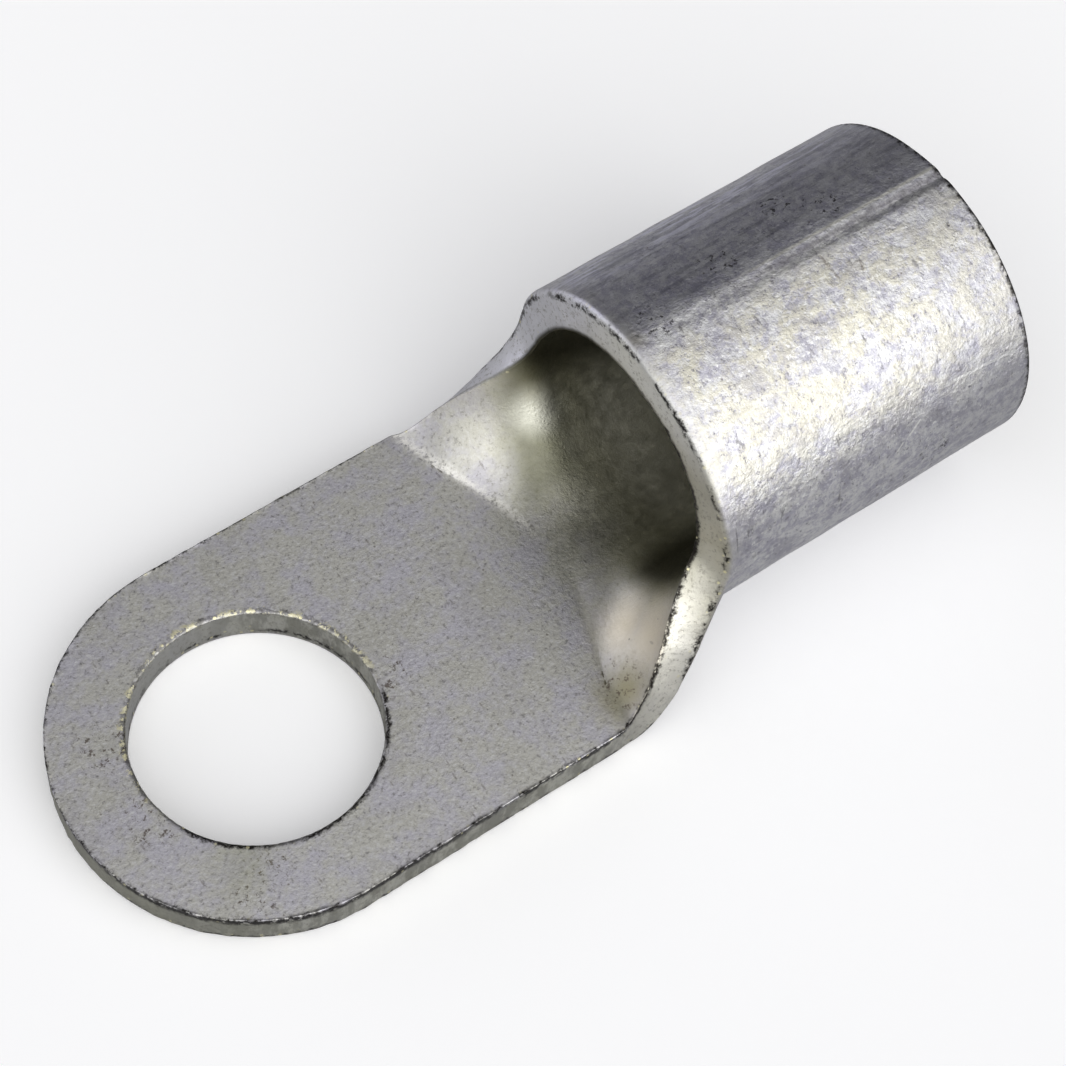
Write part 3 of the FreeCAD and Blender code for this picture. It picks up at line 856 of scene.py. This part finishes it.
def make_camera():
    """The photograph's view, from the near side and above, with the barrel at the upper right."""
    place = Vector((-27.915, -48.313, 111.471)) * MM
    direction = Vector((0.33341, 0.38776, -0.85935))
    roll = math.radians(6.07)
    camera = bpy.data.cameras.new("camera")
    camera.sensor_width = 36.0
    camera.lens = 101.95
    camera.clip_start = 0.01
    camera.clip_end = 10.0
    stand = bpy.data.objects.new("camera", camera)
    stand.rotation_mode = "QUATERNION"
    turned = direction.to_track_quat("-Z", "Y").to_matrix() @ Matrix.Rotation(roll, 3, "Z")
    stand.rotation_quaternion = turned.to_quaternion()
    stand.location = place
    bpy.context.scene.collection.objects.link(stand)
    bpy.context.scene.camera = stand


def make_light():
    """Soft studio light: a sky that is bright on the near side and dim on the far one, and a soft lamp."""
    world = bpy.data.worlds.new("studio")
    bpy.context.scene.world = world
    world.use_nodes = True
    tree = world.node_tree
    nodes = Nodes(tree)
    sky = nodes.new("ShaderNodeTexCoord").outputs["Generated"]
    split = nodes.new("ShaderNodeSeparateXYZ")
    nodes.link(sky, split.inputs[0])
    ramp = nodes.new("ShaderNodeValToRGB")
    stops = [(0.0, 2.2), (0.12, 1.62), (0.30, 1.33), (0.5, 0.95), (0.69, 0.46), (0.82, 0.10), (1.0, 0.24)]
    while len(ramp.color_ramp.elements) < len(stops):
        ramp.color_ramp.elements.new(0.5)
    for element, (position, value) in zip(ramp.color_ramp.elements, stops):
        element.position = position
        element.color = (value, value, value * 1.01, 1)
    share = nodes.math("ADD", nodes.math("MULTIPLY", split.outputs["Y"], 0.5), 0.5)
    nodes.link(share, ramp.inputs["Fac"])
    dim = nodes.math("MULTIPLY", nodes.step(split.outputs["X"], 0.45, 0.85), 0.9)
    colour = nodes.mix(dim, ramp.outputs["Color"], (0.03, 0.03, 0.025, 1))
    facing = nodes.new("ShaderNodeVectorMath", operation="DOT_PRODUCT")
    nodes.link(sky, facing.inputs[0])
    facing.inputs[1].default_value = Vector((-0.55, 0.82, 0.05)).normalized()
    window = nodes.math("MULTIPLY", nodes.step(facing.outputs["Value"], 0.80, 0.93), 0.9)
    colour = nodes.mix(window, colour, (1.05, 1.05, 1.2, 1))
    nodes.link(colour, tree.nodes["Background"].inputs["Color"])
    tree.nodes["Background"].inputs["Strength"].default_value = 1.0

    lamp = bpy.data.lights.new("lamp", "AREA")
    lamp.shape = "DISK"
    lamp.size = 0.25
    lamp.energy = 0.055
    stand = bpy.data.objects.new("lamp", lamp)
    direction = Vector((0.45, -0.62, 0.64)).normalized()
    stand.location = Vector((0.012, 0, 0)) + direction * 0.45
    stand.rotation_mode = "QUATERNION"
    stand.rotation_quaternion = (-direction).to_track_quat("-Z", "Y")
    bpy.context.scene.collection.objects.link(stand)


terminal = make_terminal()
bpy.context.scene.collection.objects.link(terminal)
terminal.data.materials.append(tin_material())
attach(terminal, "root")
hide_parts("terminal_body")
make_floor()
make_camera()
make_light()
bpy.context.scene.view_settings.view_transform = "Standard"
